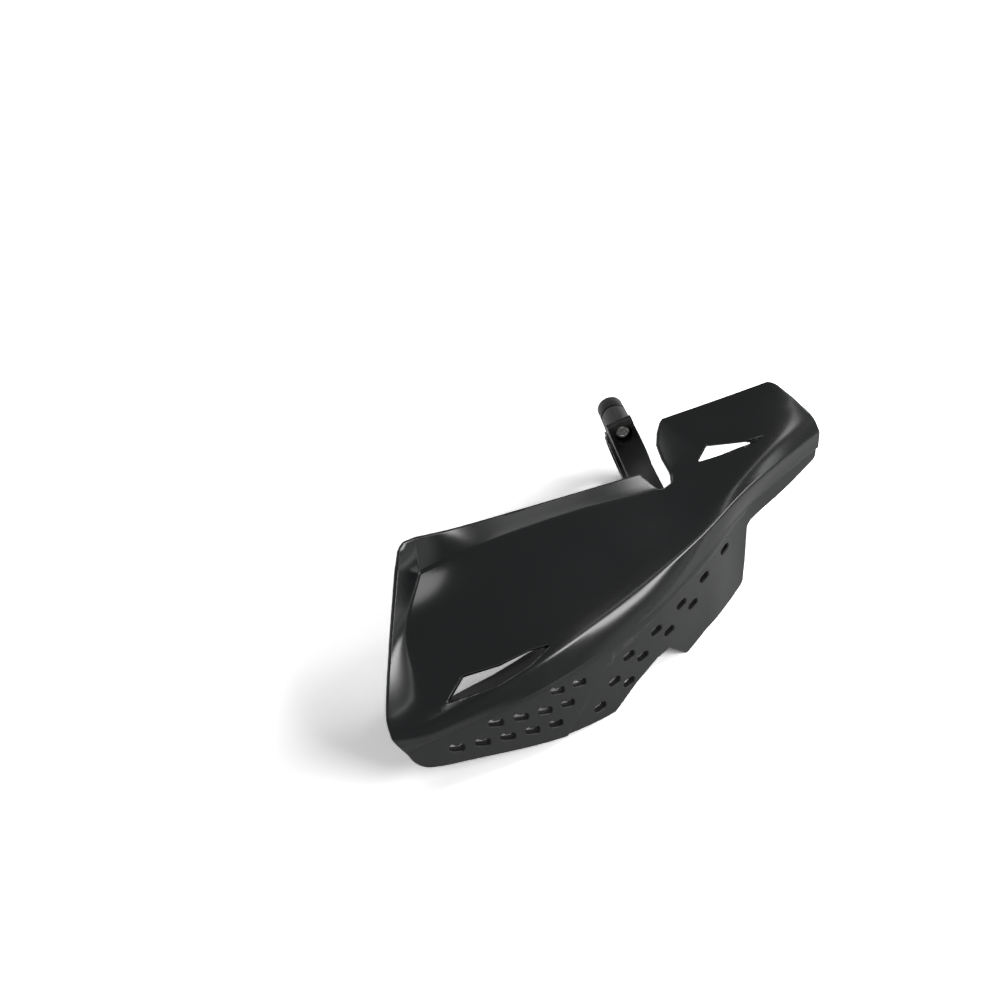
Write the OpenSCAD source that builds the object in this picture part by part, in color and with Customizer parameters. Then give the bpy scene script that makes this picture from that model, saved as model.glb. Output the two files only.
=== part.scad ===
// Vented motorcycle hand guard with its handlebar clamp.
// Guard frame: X runs from the wide end to the narrow end, -Y is the outer side, Z is up.

/* [Shield] */
// Length of the shield from end to end
shield_l = 288; // [260:1:320]
// Depth of the shield, from the foremost face back to the flange
shield_d = 100; // [88:1:112]
// Height of the shield as it lies
shield_h = 95; // [84:1:106]
// Wall of the moulded shell
wall = 2.6; // [2:0.1:3.2]
// Size of the rounded crest between the upper face and the cove
crest_r = 1.2; // [0.6:0.1:1.6]
// Depth of the step along the panel line
panel_step = 1; // [0.6:0.1:1.2]
// Radius of the shield's cut corners
corner_r = 2; // [1:0.5:3]
// Radius of the corner at each end of the flange
end_r = 10; // [6:0.5:14]
// Depth of the groove beside the narrow window
groove_d = 1.6; // [1:0.1:1.8]

/* [Vents] */
// Length of a vent slot
slot_l = 7.4; // [6:0.2:8.4]
// Width of a vent slot
slot_w = 3.6; // [2.8:0.2:4.2]
// Waist of the pinched slots in the wide zone
slot_waist = 2.6; // [1.8:0.2:2.8]

/* [Bar clamp] */
// Diameter of the handlebar that the clamp holds
bar_d = 22.2; // [22.2:0.1:25.4]
// Wall of the sleeve between the bar and the collar
sleeve_t = 1.9; // [1.2:0.1:2.5]
// Wall of the collar
collar_t = 3.4; // [2.8:0.1:5]
// Width of the collar along the bar
collar_w = 16; // [14:0.5:20]
// Height of the sleeve's rims above its tube
rim_h = 1; // [0.6:0.1:1.5]
// Distance from the collar's outside to the pinch bolt's axis
pinch_rise = 12.5; // [11:0.5:16]
// Diameter of the barrel that holds the pinch bolt
barrel_d = 14.6; // [14:0.2:16]
// Length of the barrel on the bolt head's side of the slit
barrel_near = 17.2; // [15:0.2:19]
// Length of the barrel on the nut's side of the slit
barrel_far = 8.6; // [8.4:0.2:13]
// Width of the slit that the pinch bolt closes
slit_w = 1.2; // [0.8:0.1:2]

/* [Arm] */
// Thickness of the foot that is screwed to the shield
foot_t = 6; // [5:0.5:8]
// Width of the foot
foot_w = 18; // [16:0.5:20]
// Height of the shield's bosses under the foot
boss_h = 8; // [7.5:0.5:9]
// Distance between the two shield screws
screw_pitch = 22; // [20:0.5:26]

/* [Fasteners] */
// Thread diameter of the bolt and the screws
thread_d = 5; // [4:0.1:5]
// Diameter of the bolt's head and of the screws' heads
head_d = 8.6; // [8:0.1:9]
// Height of a head
head_h = 5; // [4:0.1:5]
// Diameter of a washer
washer_d = 10; // [9.4:0.1:10]
// Thickness of a washer
washer_t = 1; // [0.8:0.1:1.2]
// Distance across the flats of the nut
nut_af = 8; // [7:0.1:8]
// Height of the nut
nut_h = 4; // [3.2:0.1:4.4]
// Length of a threaded insert in the shield's bosses
insert_l = 7; // [5:0.5:7]
// Diameter of a threaded insert
insert_d = 6.8; // [6.4:0.1:7.2]
// Radial clearance between pieces that fit in each other
fit = 0.1; // [0.05:0.01:0.15]
// Radial clearance round the bolt and the screws
bolt_play = 0.25; // [0.15:0.05:0.4]

/* [Hidden] */
$fn = 48;
eps = 0.01;

// Shield: eight cross sections, each a row of eight points from the panel's lower edge, over
// the seam, the cove and the crest, across the upper face to the fold and the flange's top edge.
drawn_size = [288, 100, 95];
knots = [0, 0.07, 0.28, 0.5, 0.66, 0.79, 0.9, 1];
sections = [
    [[-131.5, -111.5, 3], [-137.5, -103.5, 20], [-140.5, -100, 25.5], [-142, -97, 29.5],
     [-138.7, -88.5, 35.7], [-121.5, -69, 53.5], [-99.2, -45, 75.5], [-91, -35, 82.5]],
    [[-118, -118.5, -2], [-120.5, -109, 24], [-121, -106, 29.5], [-121.5, -103, 33.5],
     [-120, -96, 37], [-112, -68, 57], [-86, -44.5, 66], [-82, -37, 82]],
    [[-60, -133.5, -4], [-60, -122.5, 34], [-60, -118, 39.5], [-60, -113.5, 45],
     [-59, -106, 49.5], [-58, -78, 64], [-58, -53.5, 73.5], [-58, -43, 80.8]],
    [[0, -134, -4], [0, -123.5, 42], [0, -119, 50], [0, -113, 56],
     [0, -106, 59.5], [0, -84, 68.5], [0, -66.5, 75], [0, -56.5, 79]],
    [[45, -128.5, -6], [45, -115.5, 50], [45, -112.5, 56.5], [45, -109.5, 62],
     [45, -102, 65], [45, -88, 69], [45, -75.5, 71], [40, -66.5, 78.5]],
    [[80, -119, -6], [81, -105.5, 57], [81, -105, 62.5], [81, -104, 68.5],
     [81, -96, 73], [80, -80, 75], [78, -66, 78], [75, -44.5, 84]],
    [[112, -107, 46], [112, -103, 60], [112, -101.5, 66], [113, -100.5, 72],
     [112, -93, 78], [111, -78, 83], [109, -68, 86], [107, -56, 89.5]],
    [[139, -104, 54], [142, -101, 63], [144, -99, 69], [145.2, -97.5, 74],
     [145, -91.5, 80.3], [141.5, -81.5, 87], [139, -74.5, 91], [135.5, -66.5, 95]]];
// Steps between one cross section and the next, and along each part of a cross section
section_steps = [4, 8, 7, 6, 6, 5, 5];
panel_steps = 3;
cove_steps = 4;
face_steps = 9;
flange_steps = 2;
fold_rail = 6;
notch_sections = [4, 5];
crest_row = panel_steps + cove_steps;
rows = crest_row + face_steps + flange_steps;

// Lower outline of the shield, seen from the front as X and Z
outline = [[-160, 60], [-134.3, 11.2], [-115, 9.2], [-96, 7.2], [-59, 2.6], [-29, 0], [-13, 9],
           [3, 15.3], [12, 16], [25, 4], [43, 8], [68, 9], [77, 11], [79.5, 13], [82.5, 26.5],
           [85.5, 44.5], [88.5, 46.8], [110, 51.8], [137.5, 59], [170, 66], [170, 120],
           [-160, 120]];
// Panel line: what lies below and to the right of it is sunk by panel_step
panel_line = [[150, 66], [130, 64], [108, 60.5], [88.5, 58], [82, 54.5], [65, 51.5], [39.5, 46.7],
              [21.5, 45.5], [1, 40.3], [-17.5, 36], [-30, 31], [-39, 23], [-46.5, 16], [-56.5, 7],
              [-62, 0], [-62, -20], [150, -20]];
// Plan of the shield seen square to its upper face, with a rounded corner at each end
plan = [[-90.3, -34.5, 82.8], [-153, -95, 30], [-150, -130, -60], [185, -150, -60], [185, -130, 10],
        [135.5, -66.3, 95.2], [72, -41, 86], [-25, -48, 82]];
plan_normal = [-0.25, -0.6, 0.75];
// Raised end of the flange, the notch beside it and the two windows, as points on the surface
notch_edge = [[38.2, -60, 83], [40.2, -66.3, 78.5], [46.1, -76, 71.1], [48.5, -77.2, 71.3],
              [54.5, -77, 72.2], [57.3, -73, 73.5], [59.3, -63, 77.9], [62.2, -56, 80.6],
              [68.2, -49.7, 82.6], [73.5, -45.7, 83.7], [76.5, -44.5, 84.5],
              [80.4, -20, 95], [34, -20, 95]];
notch_normal = [-0.12, -0.2, 0.97];
wide_window = [[-98, -96, 44], [-112.5, -100.5, 37], [-87, -109.5, 40], [-69, -111.5, 43.5],
               [-54, -110, 48.5], [-65.5, -106, 48], [-81, -102.5, 45.5]];
wide_normal = [-0.25, -0.5, 0.83];
narrow_window = [[84.5, -71.5, 78], [74, -75.5, 75], [86.5, -80, 76.5], [113, -88, 80],
                 [102.5, -83.5, 79.5]];
narrow_normal = [-0.18, -0.3, 0.94];
// Groove that runs out from the narrow window's tip
narrow_groove = [[97.5, -81, 79.3], [114.5, -87.6, 80.4], [99, -85.4, 79]];
window_r = 0.8;

// Vent slots as X and Z on the panel: first slot, step along a row, step to the next row,
// slots in each row, places that each row starts further along, slope
wide_slots = [[-65, 13], [-12.5, 1.2], [8.3, 8.3], [5, 4, 2], [0, 0, 0], -12];
tab_slots = [[64, 44], [-20, -4], [-11, -9.7], [5, 4, 2], [0, 1, 3], 8];

// Clamp: the bar's centre in the guard frame, and the turn of the clamp about it
bar_at = [88.6, -8.3, 29.2];
clamp_turn = [-6.7, -19.1, -23.25];
// Tilt of the guard frame as the whole guard lies on a floor
lay = [1, 4.4, 0];
// Place of the arm's foot along the shield, and across its upper face
foot_along = 0.645;
foot_across = 0.34;

bar_r = bar_d / 2;
sleeve_ro = bar_r + sleeve_t;
collar_ri = sleeve_ro + fit;
collar_ro = collar_ri + collar_t;
pinch_z = collar_ro + pinch_rise;
slit_y = -1.2;
near_y = slit_y - slit_w / 2 - barrel_near;
far_y = slit_y + slit_w / 2 + barrel_far;
seat_y = near_y + head_h + washer_t;
nut_y = far_y - nut_h - 0.6;
bolt_l = nut_y + nut_h - near_y - head_h;
arm_w = barrel_d;
lug_t = 4;
rim_w = 1.2;

function unit(v) = v / norm(v);
function mix(a, b, t) = a + (b - a) * t;
function sized(p) = [for (i = [0:2]) p[i] * [shield_l, shield_d, shield_h][i] / drawn_size[i]];
function sized_xz(p) = [p.x * shield_l / drawn_size.x, p.y * shield_h / drawn_size.z];
function hermite(a, b, ta, tb, s) =
    (2 * s ^ 3 - 3 * s ^ 2 + 1) * a + (s ^ 3 - 2 * s ^ 2 + s) * ta
    + (3 * s ^ 2 - 2 * s ^ 3) * b + (s ^ 3 - s ^ 2) * tb;
function bezier(p, t) =
    (1 - t) ^ 3 * p[0] + 3 * t * (1 - t) ^ 2 * p[1] + 3 * t ^ 2 * (1 - t) * p[2] + t ^ 3 * p[3];

// A rail joins the same point of every cross section by a smooth curve
function rail_point(r, j) = sized(sections[j][r]);
function rail_chord(r, j) = (rail_point(r, j + 1) - rail_point(r, j)) / (knots[j + 1] - knots[j]);
function rail_slope(r, j, side) =
    j == 0 ? rail_chord(r, 0)
    : j == len(knots) - 1 ? rail_chord(r, j - 1)
    : r >= fold_rail && (j == notch_sections[0] || j == notch_sections[1])
        ? rail_chord(r, side < 0 ? j - 1 : j)
    : (rail_point(r, j + 1) - rail_point(r, j - 1)) / (knots[j + 1] - knots[j - 1]);
function span_of(t, ends, i = 0) = i >= len(ends) - 2 || t < ends[i + 1] ? i : span_of(t, ends, i + 1);
function rail_at(r, u) =
    let (j = span_of(u, knots), h = knots[j + 1] - knots[j], s = (u - knots[j]) / h)
    hermite(rail_point(r, j), rail_point(r, j + 1), rail_slope(r, j, 1) * h,
            rail_slope(r, j + 1, -1) * h, s);

// The upper face runs from the crest to the fold through two points, by chord length
function face_at(u, t) =
    let (q = [for (r = [3:6]) rail_at(r, u)],
         a = norm(q[1] - q[0]), b = a + norm(q[2] - q[1]), c = b + norm(q[3] - q[2]),
         ends = [0, a, b, c],
         slopes = [(q[1] - q[0]) / a, (q[2] - q[0]) / b, (q[3] - q[1]) / (c - a), (q[3] - q[2]) / (c - b)],
         j = span_of(t * c, ends), h = ends[j + 1] - ends[j], s = (t * c - ends[j]) / h)
    hermite(q[j], q[j + 1], slopes[j] * h, slopes[j + 1] * h, s);
function cove_at(a, b, c, s) = (1 - s) ^ 2 * a + 2 * s * (1 - s) * (2 * b - (a + c) / 2) + s ^ 2 * c;
function cross_section(u) =
    let (p = [for (r = [0:7]) rail_at(r, u)])
    concat([for (i = [0:panel_steps - 1]) mix(p[0], p[1], i / panel_steps)],
           [for (i = [0:cove_steps - 1]) cove_at(p[1], p[2], p[3], i / cove_steps)],
           [for (i = [0:face_steps - 1]) face_at(u, i / face_steps)],
           [for (i = [0:flange_steps]) mix(p[6], p[7], i / flange_steps)]);
stations = concat([0], [for (j = [0:len(section_steps) - 1]) for (i = [1:section_steps[j]])
                        mix(knots[j], knots[j + 1], i / section_steps[j])]);
grid = [for (u = stations) cross_section(u)];
last_station = len(stations) - 1;

// Direction out of the surface at a grid point, long enough to keep the wall at a crease
function normal_of(i, a, b) =
    let (j = min(a, b), along = grid[min(i + 1, last_station)][a] - grid[max(i - 1, 0)][a])
    unit(cross(along, grid[i][j + 1] - grid[i][j]));
function outward(i, j) =
    let (low = normal_of(i, j, max(j - 1, 0)), high = normal_of(i, j, min(j, rows - 1)),
         lower = j == 0 ? high : low, upper = j == rows ? low : high)
    (lower + upper) / (1 + lower * upper);
// The first and the last station can reach past the shield's ends, for a tool that cuts it
function past_end(i, j, over) =
    (i == 0 ? -over : i == last_station ? over : 0)
    * unit(grid[min(i + 1, last_station)][j] - grid[max(i - 1, 0)][j]);
function crest_points(i, depth) =
    let (p = grid[i][crest_row], m = p - depth * outward(i, crest_row),
         a = unit(grid[i][crest_row - 1] - p), b = unit(grid[i][crest_row + 1] - p),
         r = max(crest_r - depth / 2, crest_r / 4))
    [m + r * a, m + 0.3 * r * (a + b), m + r * b];
// The points of one station from one row to another, at a depth under the outer surface
function layer_points(i, from, to, depth, over) =
    [for (j = [from:to]) each j == crest_row
        ? crest_points(i, depth)
        : [grid[i][j] - depth * outward(i, j) + past_end(i, j, over)]];

function quad(a, b, c, d) = [[a, b, c], [a, c, d]];
// A sheet between two depths under the outer surface
module sheet(from, to, top, bottom, over = 0) {
    tops = [for (i = [0:last_station]) layer_points(i, from, to, top, over)];
    bottoms = [for (i = [0:last_station]) layer_points(i, from, to, bottom, over)];
    n = len(tops[0]);
    half = n * len(tops);
    polyhedron(
        points = concat([for (r = tops) each r], [for (r = bottoms) each r]),
        faces = concat(
            [for (i = [0:last_station - 1]) for (j = [0:n - 2]) let (a = i * n + j)
                each quad(a, a + 1, a + n + 1, a + n)],
            [for (i = [0:last_station - 1]) for (j = [0:n - 2]) let (a = half + i * n + j)
                each quad(a, a + n, a + n + 1, a + 1)],
            [for (i = [0:last_station - 1]) let (a = i * n)
                each quad(a, a + n, half + a + n, half + a)],
            [for (i = [0:last_station - 1]) let (a = i * n + n - 1)
                each quad(a, half + a, half + a + n, a + n)],
            [for (j = [0:n - 2]) each quad(j, half + j, half + j + 1, j + 1)],
            [for (j = [0:n - 2]) let (a = last_station * n + j)
                each quad(a, a + 1, half + a + 1, half + a)]),
        convexity = 10);
}

// Prisms that cut the shield, seen from the front or square to a part of the surface
module front_prism(points, r) {
    translate([0, shield_d / 4, 0])
        rotate([90, 0, 0])
            linear_extrude(shield_d * 2)
                offset(r = r)
                    offset(delta = -r)
                        polygon([for (p = points) sized_xz(p)]);
}
module surface_prism(points, normal, height, r) {
    z = unit(normal);
    x = unit(cross([0, 1, 0], z));
    y = cross(z, x);
    sized_points = [for (p = points) sized(p)];
    multmatrix([[x.x, y.x, z.x, 0], [x.y, y.y, z.y, 0], [x.z, y.z, z.z, 0], [0, 0, 0, 1]])
        translate([0, 0, sized_points[0] * z - height / 2])
            linear_extrude(height)
                offset(r = r)
                    offset(delta = -r)
                        polygon([for (p = sized_points) [p * x, p * y]]);
}
module slot(waist) {
    end = slot_l / 2 - slot_w / 2;
    difference() {
        hull() {
            translate([-end, 0])
                circle(d = slot_w, $fn = 16);
            translate([end, 0])
                circle(d = slot_w, $fn = 16);
        }
        if (waist < slot_w)
            translate([0, slot_w])
                circle(r = slot_w * 1.5 - waist, $fn = 24);
    }
}
module slots(zone, waist) {
    for (row = [0:len(zone[3]) - 1]) {
        for (i = [0:zone[3][row] - 1]) {
            at = sized_xz(zone[0] + (i + zone[4][row]) * zone[1] + row * zone[2]);
            translate([at.x, -shield_d, at.y])
                rotate([90, 0, 0])
                    linear_extrude(shield_d / 2)
                        rotate(zone[5])
                            slot(waist);
        }
    }
}

// Frame of the clamp: X along the bar, Y along the pinch bolt, Z from the bar to the bolt
module at_clamp() {
    translate(bar_at)
        rotate(clamp_turn)
            children();
}
function turn_matrix(a) =
    [[cos(a.z), -sin(a.z), 0], [sin(a.z), cos(a.z), 0], [0, 0, 1]]
    * [[cos(a.y), 0, sin(a.y)], [0, 1, 0], [-sin(a.y), 0, cos(a.y)]]
    * [[1, 0, 0], [0, cos(a.x), -sin(a.x)], [0, sin(a.x), cos(a.x)]];
clamp_axes = turn_matrix(clamp_turn);

// Frame of the foot: on the shield's outer surface, Z out of it, X along the bar
foot_point = face_at(foot_along, foot_across);
foot_z = unit(cross(face_at(foot_along + 0.02, foot_across) - face_at(foot_along - 0.02, foot_across),
                    face_at(foot_along, foot_across + 0.1) - face_at(foot_along, foot_across - 0.1)));
bar_axis = clamp_axes * [1, 0, 0];
foot_x = unit(bar_axis - (bar_axis * foot_z) * foot_z);
foot_y = cross(foot_z, foot_x);
module at_foot() {
    translate(foot_point)
        multmatrix([[foot_x.x, foot_y.x, foot_z.x, 0], [foot_x.y, foot_y.y, foot_z.y, 0],
                    [foot_x.z, foot_y.z, foot_z.z, 0], [0, 0, 0, 1]])
            children();
}
foot_top = -(wall + boss_h);
foot_centre = (foot_point + (foot_top - foot_t / 2) * foot_z - bar_at) * clamp_axes;
// The whole guard is turned to lie on the floor, about the bar's centre
module laid() {
    rotate(lay)
        translate(-bar_at)
            children();
}

module shield() {
    color([0.07, 0.07, 0.075])
        laid()
            difference() {
                union() {
                    intersection() {
                        sheet(0, rows, 0, wall);
                        front_prism(outline, corner_r);
                        surface_prism(plan, plan_normal, shield_d * 2, end_r);
                    }
                    at_foot()
                        for (side = [-1, 1])
                            translate([side * screw_pitch / 2, 0, foot_top])
                                cylinder(d = insert_d + 5.2, h = boss_h + wall / 2);
                }
                intersection() {
                    sheet(0, crest_row - 1, -2, panel_step, 2);
                    front_prism(panel_line, 1);
                }
                intersection() {
                    sheet(crest_row + 1, rows, -2, groove_d, 2);
                    surface_prism(narrow_groove, narrow_normal, shield_d * 0.3, window_r);
                }
                slots(wide_slots, slot_waist);
                slots(tab_slots, slot_w);
                surface_prism(notch_edge, notch_normal, shield_d * 0.6, corner_r);
                surface_prism(wide_window, wide_normal, shield_d * 0.3, window_r);
                surface_prism(narrow_window, narrow_normal, shield_d * 0.3, window_r);
                at_foot()
                    for (side = [-1, 1])
                        translate([side * screw_pitch / 2, 0, foot_top - eps])
                            cylinder(d = insert_d, h = boss_h);
            }
}

// Side profile of the arm in the clamp frame, as Y and Z
arm_front = [[near_y + 2, pinch_z + barrel_d / 2 + 0.6], [near_y - 0.4, pinch_z + barrel_d / 2 - 0.6],
             [near_y - 1.6, pinch_z + 4.6], [near_y - 2.2, pinch_z], [near_y - 3.2, pinch_z - 4]];
arm_neck = arm_front[4];
arm_end = [foot_centre.y, foot_centre.z];
arm_reach = arm_neck.x - arm_end.x;
arm_top = [arm_neck, arm_neck - [0.11 * arm_reach, 1.1 * barrel_d],
           arm_neck - [0.47 * arm_reach, 1.44 * barrel_d], arm_end - [foot_t * 0.7, 0]];
arm_low = [arm_end - [foot_t * 1.3, foot_t / 2], arm_end + [0.38 * arm_reach, -0.95 * barrel_d],
           [near_y - 0.8 * barrel_d, -collar_ro / 2], [-collar_ro * 0.55, -collar_ro - lug_t]];
lug = [[collar_ro * 0.25, -collar_ro - lug_t], [collar_ro * 0.55, -collar_ro - lug_t / 4],
       [collar_ro * 0.6, -collar_ro / 2], [0, 0], [near_y + 2, 0]];
module arm_profile() {
    polygon(concat(arm_front, [for (i = [1:12]) bezier(arm_top, i / 12)],
                   [for (i = [0:12]) bezier(arm_low, i / 12)], lug));
}
module along_bar(from, to) {
    translate([from, 0, 0])
        rotate([90, 0, 90])
            linear_extrude(to - from)
                children();
}
module mount_arm() {
    color([0.1, 0.1, 0.1])
        laid()
            difference() {
                union() {
                    at_clamp() {
                        along_bar(-arm_w / 2, arm_w / 2)
                            arm_profile();
                        along_bar(-collar_w / 2, collar_w / 2)
                            circle(r = collar_ro);
                        along_bar(-arm_w / 2, arm_w / 2)
                            translate([near_y, 0])
                                square([far_y - near_y - barrel_d * 0.2, pinch_z]);
                        translate([0, near_y, pinch_z])
                            rotate([-90, 0, 0])
                                cylinder(d = barrel_d, h = far_y - near_y);
                    }
                    at_foot()
                        translate([0, 0, foot_top - foot_t])
                            linear_extrude(foot_t) {
                                square([screw_pitch, foot_w], center = true);
                                for (side = [-1, 1])
                                    translate([side * screw_pitch / 2, 0])
                                        circle(d = foot_w);
                            }
                }
                at_clamp() {
                    along_bar(-collar_w, collar_w)
                        circle(r = collar_ri);
                    translate([-collar_w, slit_y - slit_w / 2, 0])
                        cube([2 * collar_w, slit_w, pinch_z + barrel_d]);
                    translate([0, near_y - 20, pinch_z])
                        rotate([-90, 0, 0])
                            cylinder(d = thread_d + 2 * bolt_play, h = far_y - near_y + 40);
                    translate([0, near_y - 20, pinch_z])
                        rotate([-90, 0, 0])
                            cylinder(d = washer_d + 2 * bolt_play, h = seat_y - near_y + 20);
                    translate([0, nut_y, pinch_z])
                        rotate([-90, 0, 0])
                            cylinder(d = (nut_af + 2 * fit) / cos(30), h = far_y, $fn = 6);
                }
                at_foot() {
                    translate([0, 0, foot_top])
                        linear_extrude(boss_h + wall)
                            square([screw_pitch * 3, foot_w * 2], center = true);
                    for (side = [-1, 1])
                        translate([side * screw_pitch / 2, 0, foot_top - foot_t - 20]) {
                            cylinder(d = thread_d + 2 * bolt_play, h = foot_t + 21);
                            cylinder(d = washer_d + 2 * bolt_play, h = 20);
                        }
                }
            }
}

module bar_sleeve() {
    color([0.16, 0.16, 0.17])
        laid()
            at_clamp()
                difference() {
                    union() {
                        along_bar(-collar_w / 2 - rim_w, collar_w / 2 + rim_w)
                            circle(r = sleeve_ro);
                        for (side = [-1, 1])
                            along_bar(side * (collar_w / 2 + rim_w / 2) - rim_w / 2,
                                      side * (collar_w / 2 + rim_w / 2) + rim_w / 2)
                                circle(r = sleeve_ro + rim_h);
                    }
                    along_bar(-collar_w, collar_w)
                        circle(r = bar_r);
                    translate([-collar_w, slit_y - slit_w / 2, 0])
                        cube([2 * collar_w, slit_w, collar_ro]);
                }
}

// A cap screw along +Z from the face of its head at z = 0
module cap_screw(length) {
    difference() {
        union() {
            cylinder(d = head_d, h = head_h);
            translate([0, 0, head_h])
                cylinder(d = thread_d, h = length);
        }
        translate([0, 0, -eps])
            cylinder(d = thread_d * 0.8 / cos(30), h = head_h * 0.55, $fn = 6);
    }
}
module washer() {
    difference() {
        cylinder(d = washer_d, h = washer_t);
        translate([0, 0, -eps])
            cylinder(d = thread_d + 2 * bolt_play, h = washer_t + 2 * eps);
    }
}
module at_pinch(y) {
    laid()
        at_clamp()
            translate([0, y, pinch_z])
                rotate([-90, 0, 0])
                    children();
}
module pinch_bolt() {
    color([0.78, 0.78, 0.76])
        at_pinch(near_y)
            cap_screw(bolt_l);
}
module pinch_washer() {
    color([0.72, 0.72, 0.7])
        at_pinch(near_y + head_h)
            washer();
}
module pinch_nut() {
    color([0.72, 0.72, 0.7])
        at_pinch(nut_y)
            difference() {
                cylinder(d = nut_af / cos(30), h = nut_h, $fn = 6);
                translate([0, 0, -eps])
                    cylinder(d = thread_d + fit, h = nut_h + 2 * eps);
            }
}

module at_screw(side, z) {
    laid()
        at_foot()
            translate([side * screw_pitch / 2, 0, z])
                children();
}
module shield_screw(side) {
    color([0.72, 0.72, 0.7])
        at_screw(side, foot_top - foot_t - washer_t - head_h)
            cap_screw(washer_t + foot_t + insert_l);
}
module shield_washer(side) {
    color([0.72, 0.72, 0.7])
        at_screw(side, foot_top - foot_t - washer_t)
            washer();
}
module shield_insert(side) {
    color([0.75, 0.6, 0.3])
        at_screw(side, foot_top)
            difference() {
                cylinder(d = insert_d - fit, h = insert_l);
                translate([0, 0, -eps])
                    cylinder(d = thread_d + fit, h = insert_l + 2 * eps);
            }
}

shield();
mount_arm();
bar_sleeve();
pinch_bolt();
pinch_washer();
pinch_nut();
shield_screw(-1);  // shield_screw_1
shield_screw(1);  // shield_screw_2
shield_washer(-1);  // shield_washer_1
shield_washer(1);  // shield_washer_2
shield_insert(-1);  // shield_insert_1
shield_insert(1);  // shield_insert_2
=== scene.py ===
import math

import bmesh
import bpy
import numpy as np
from mathutils import Matrix, Vector


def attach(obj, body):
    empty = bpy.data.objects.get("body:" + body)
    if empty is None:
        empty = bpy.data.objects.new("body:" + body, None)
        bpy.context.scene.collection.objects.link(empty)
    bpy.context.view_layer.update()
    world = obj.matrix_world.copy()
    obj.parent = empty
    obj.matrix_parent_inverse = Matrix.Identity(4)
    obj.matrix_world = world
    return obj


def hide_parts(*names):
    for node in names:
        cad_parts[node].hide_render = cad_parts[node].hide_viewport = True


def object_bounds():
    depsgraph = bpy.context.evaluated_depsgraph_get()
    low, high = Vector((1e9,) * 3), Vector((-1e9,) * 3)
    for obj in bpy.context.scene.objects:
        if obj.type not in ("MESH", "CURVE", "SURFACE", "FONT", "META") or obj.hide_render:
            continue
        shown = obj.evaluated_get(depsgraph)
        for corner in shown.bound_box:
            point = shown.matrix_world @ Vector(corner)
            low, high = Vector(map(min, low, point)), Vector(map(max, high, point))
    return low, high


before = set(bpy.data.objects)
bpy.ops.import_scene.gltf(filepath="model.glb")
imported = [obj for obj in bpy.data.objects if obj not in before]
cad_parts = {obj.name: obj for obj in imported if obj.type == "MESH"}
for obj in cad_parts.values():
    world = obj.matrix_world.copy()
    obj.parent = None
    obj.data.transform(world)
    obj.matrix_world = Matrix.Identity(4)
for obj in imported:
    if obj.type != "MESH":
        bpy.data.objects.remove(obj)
cad_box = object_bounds()
scene = bpy.context.scene

# Shield: one injection-moulded shell of black plastic, 2.6 mm thick. Its polished upper face
# falls to a sharp crest, and under the crest runs a cove and a satin panel with 22 vents.
# It is made here as one skin with every edge rounded, and two bosses are joined on behind.
MM = 0.001
WALL = 2.6
EDGE_R = 0.8                            # rounding of every rim
PANEL_STEP, PANEL_BLEND = 1.4, 0.5      # step along the panel line, and half its width
GROOVE_DEPTH, GROOVE_BLEND = 2.0, 1.2
RAMP_DEPTH, RAMP_BLEND = 6.2, 0.7
LAY_DEG = (1.0, 4.4)                    # turn about X, then Y, from the guard's frame to the row's
BAR_AT = np.array([88.6, -8.3, 29.2])   # centre of the bar's bore, which is the row's origin

# Cross sections from the wide end to the narrow end. Each is a row of points from the
# panel's lower edge, over the seam, the cove and the crest, to the fold and the flange.
KNOTS = np.array([0, 0.07, 0.28, 0.5, 0.66, 0.79, 0.9, 1])
SECTIONS = np.array([
    [[-131.5, -111.5, 3], [-137.5, -103.5, 20], [-140.5, -100, 25.5], [-142, -97, 29.5],
     [-138.7, -88.5, 35.7], [-121.5, -69, 53.5], [-99.2, -45, 75.5], [-91, -35, 82.5]],
    [[-118, -118.5, -2], [-120.5, -109, 24], [-121, -106, 29.5], [-120.8, -102.1, 32.5],
     [-118.4, -94, 34.7], [-110.2, -65.7, 54.3], [-85.4, -43.7, 65.1], [-82, -37, 82]],
    [[-60, -133.5, -4], [-60, -122.5, 34], [-60, -118, 39.5], [-60, -113.5, 45],
     [-59, -106, 49.5], [-58, -78, 64], [-57.1, -52.3, 72.2], [-58, -43, 80.8]],
    [[0, -134, -4], [0, -123.5, 42], [0, -119, 50], [0, -113, 56],
     [0, -106, 59.5], [0, -84, 68.5], [1.4, -64.8, 73], [0, -56.5, 79]],
    [[45, -128.5, -6], [45, -115.5, 50], [45, -112.5, 56.5], [45, -109.5, 62],
     [45, -102, 65], [45, -88, 69], [45, -75.5, 71], [40, -66.5, 78.5]],
    [[80, -119, -6], [81, -105.5, 57], [81, -105, 62.5], [81, -104, 68.5],
     [81, -96, 73], [80, -80, 75], [78, -66, 78], [75, -44.5, 84]],
    [[112, -107, 46], [112, -103, 60], [112, -101.5, 66], [113, -100.5, 72],
     [112, -93, 78], [111, -78, 83], [109, -68, 86], [107, -56, 89.5]],
    [[139, -104, 54], [142, -101, 63], [144, -99, 69], [145.2, -97.5, 74],
     [145, -91.5, 80.3], [141.5, -81.5, 87], [139, -74.5, 91], [135.5, -66.5, 95]]])
FOLD_RAIL = 6
NOTCH_KNOTS = (4, 5)
SPLIT_RAIL = 5        # from this rail up, the wide end has a crease along its second section
OUTER_R = (0.8, 1.5, 1.6)   # size of the seam, the crest and the fold on the outer side
INNER_R = (1.0, 0.5, 1.0)   # and on the inner side

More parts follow.
